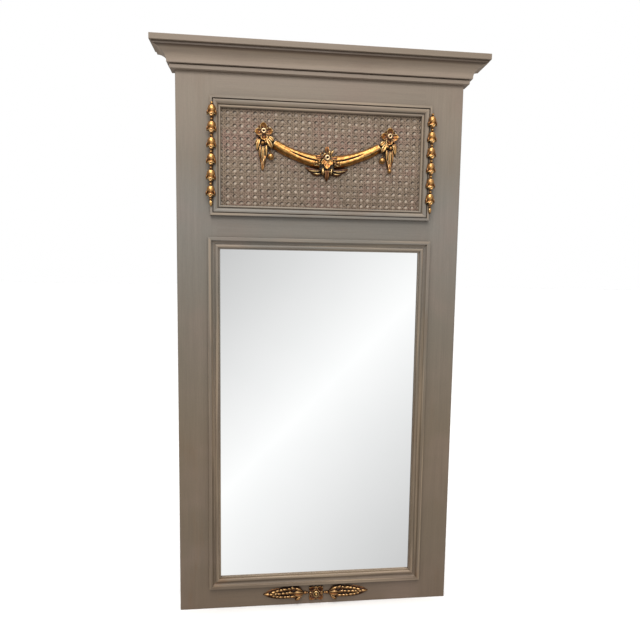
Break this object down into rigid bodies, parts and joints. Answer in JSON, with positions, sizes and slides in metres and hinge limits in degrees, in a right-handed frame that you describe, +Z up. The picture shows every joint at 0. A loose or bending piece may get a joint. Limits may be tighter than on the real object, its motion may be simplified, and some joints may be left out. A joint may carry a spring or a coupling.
{
  "type": "trumeau mirror",
  "caption": "Tall wall mirror in a painted frame, with a caned panel above the glass, a coved cornice and gilded swag, husk and spray ornament.",
  "frame": {"origin": "on the plane of the wall, on the centre line, level with the bottom edge of the frame", "axes": "+Z up, +Y back into the wall, +X to the right as seen from the front"},
  "size_m": [0.644, 0.062, 1.13],
  "materials": {
    "painted_wood": "aged greige paint rubbed to brown on the edges",
    "bare_wood": "plain unfinished softwood",
    "back_board": "thin brown hardboard",
    "gilding": "gold leaf on carved wood, worn to dark brown in the hollows",
    "cane": "woven cane painted with the frame",
    "silvered_glass": "clear silvered glass",
    "fittings_steel": "dull zinc plate",
    "bumper_rubber": "matt black"
  },
  "bodies": {
    "mirror": {"bottom_left_spray": "gilding", "bottom_rail": "painted_wood", "bottom_right_spray": "gilding", "bottom_rosette": "gilding", "cane_panel": "cane", "cap_board": "painted_wood", "crown_front": "painted_wood", "crown_left_return": "painted_wood", "crown_right_return": "painted_wood", "hanger_screws": "fittings_steel", "left_bottom_bumper": "bumper_rubber", "left_hanger_strap": "fittings_steel", "left_husk_chain": "gilding", "left_stile": "painted_wood", "left_top_bumper": "bumper_rubber", "middle_rail": "painted_wood", "mirror_back_board": "back_board", "mirror_glass": "silvered_glass", "mirror_moulding_bottom": "painted_wood", "mirror_moulding_left": "painted_wood", "mirror_moulding_right": "painted_wood", "mirror_moulding_top": "painted_wood", "mirror_strip_bottom": "bare_wood", "mirror_strip_brads": "fittings_steel", "mirror_strip_left": "bare_wood", "mirror_strip_right": "bare_wood", "mirror_strip_top": "bare_wood", "neck_band_front": "painted_wood", "neck_band_left_return": "painted_wood", "neck_band_right_return": "painted_wood", "panel_board": "back_board", "panel_moulding_bottom": "painted_wood", "panel_moulding_left": "painted_wood", "panel_moulding_right": "painted_wood", "panel_moulding_top": "painted_wood", "panel_strip_bottom": "bare_wood", "panel_strip_brads": "fittings_steel", "panel_strip_left": "bare_wood", "panel_strip_right": "bare_wood", "panel_strip_top": "bare_wood", "right_bottom_bumper": "bumper_rubber", "right_hanger_strap": "fittings_steel", "right_husk_chain": "gilding", "right_stile": "painted_wood", "right_top_bumper": "bumper_rubber", "swag_centre_flower": "gilding", "swag_left_arm": "gilding", "swag_left_drop": "gilding", "swag_left_flower": "gilding", "swag_right_arm": "gilding", "swag_right_drop": "gilding", "swag_right_flower": "gilding", "top_rail": "painted_wood"},
    "left_ring": {"left_hanger_ring": "fittings_steel"},
    "right_ring": {"right_hanger_ring": "fittings_steel"}
  },
  "joints": [
    {"name": "left_ring_swing", "type": "hinge", "parent": "mirror", "child": "left_ring", "pos_m": [-0.244, -0.00265, 0.88], "axis": [-1, 0, 0], "range_deg": [0, 183]},
    {"name": "right_ring_swing", "type": "hinge", "parent": "mirror", "child": "right_ring", "pos_m": [0.244, -0.00265, 0.88], "axis": [-1, 0, 0], "range_deg": [0, 183]}
  ]
}
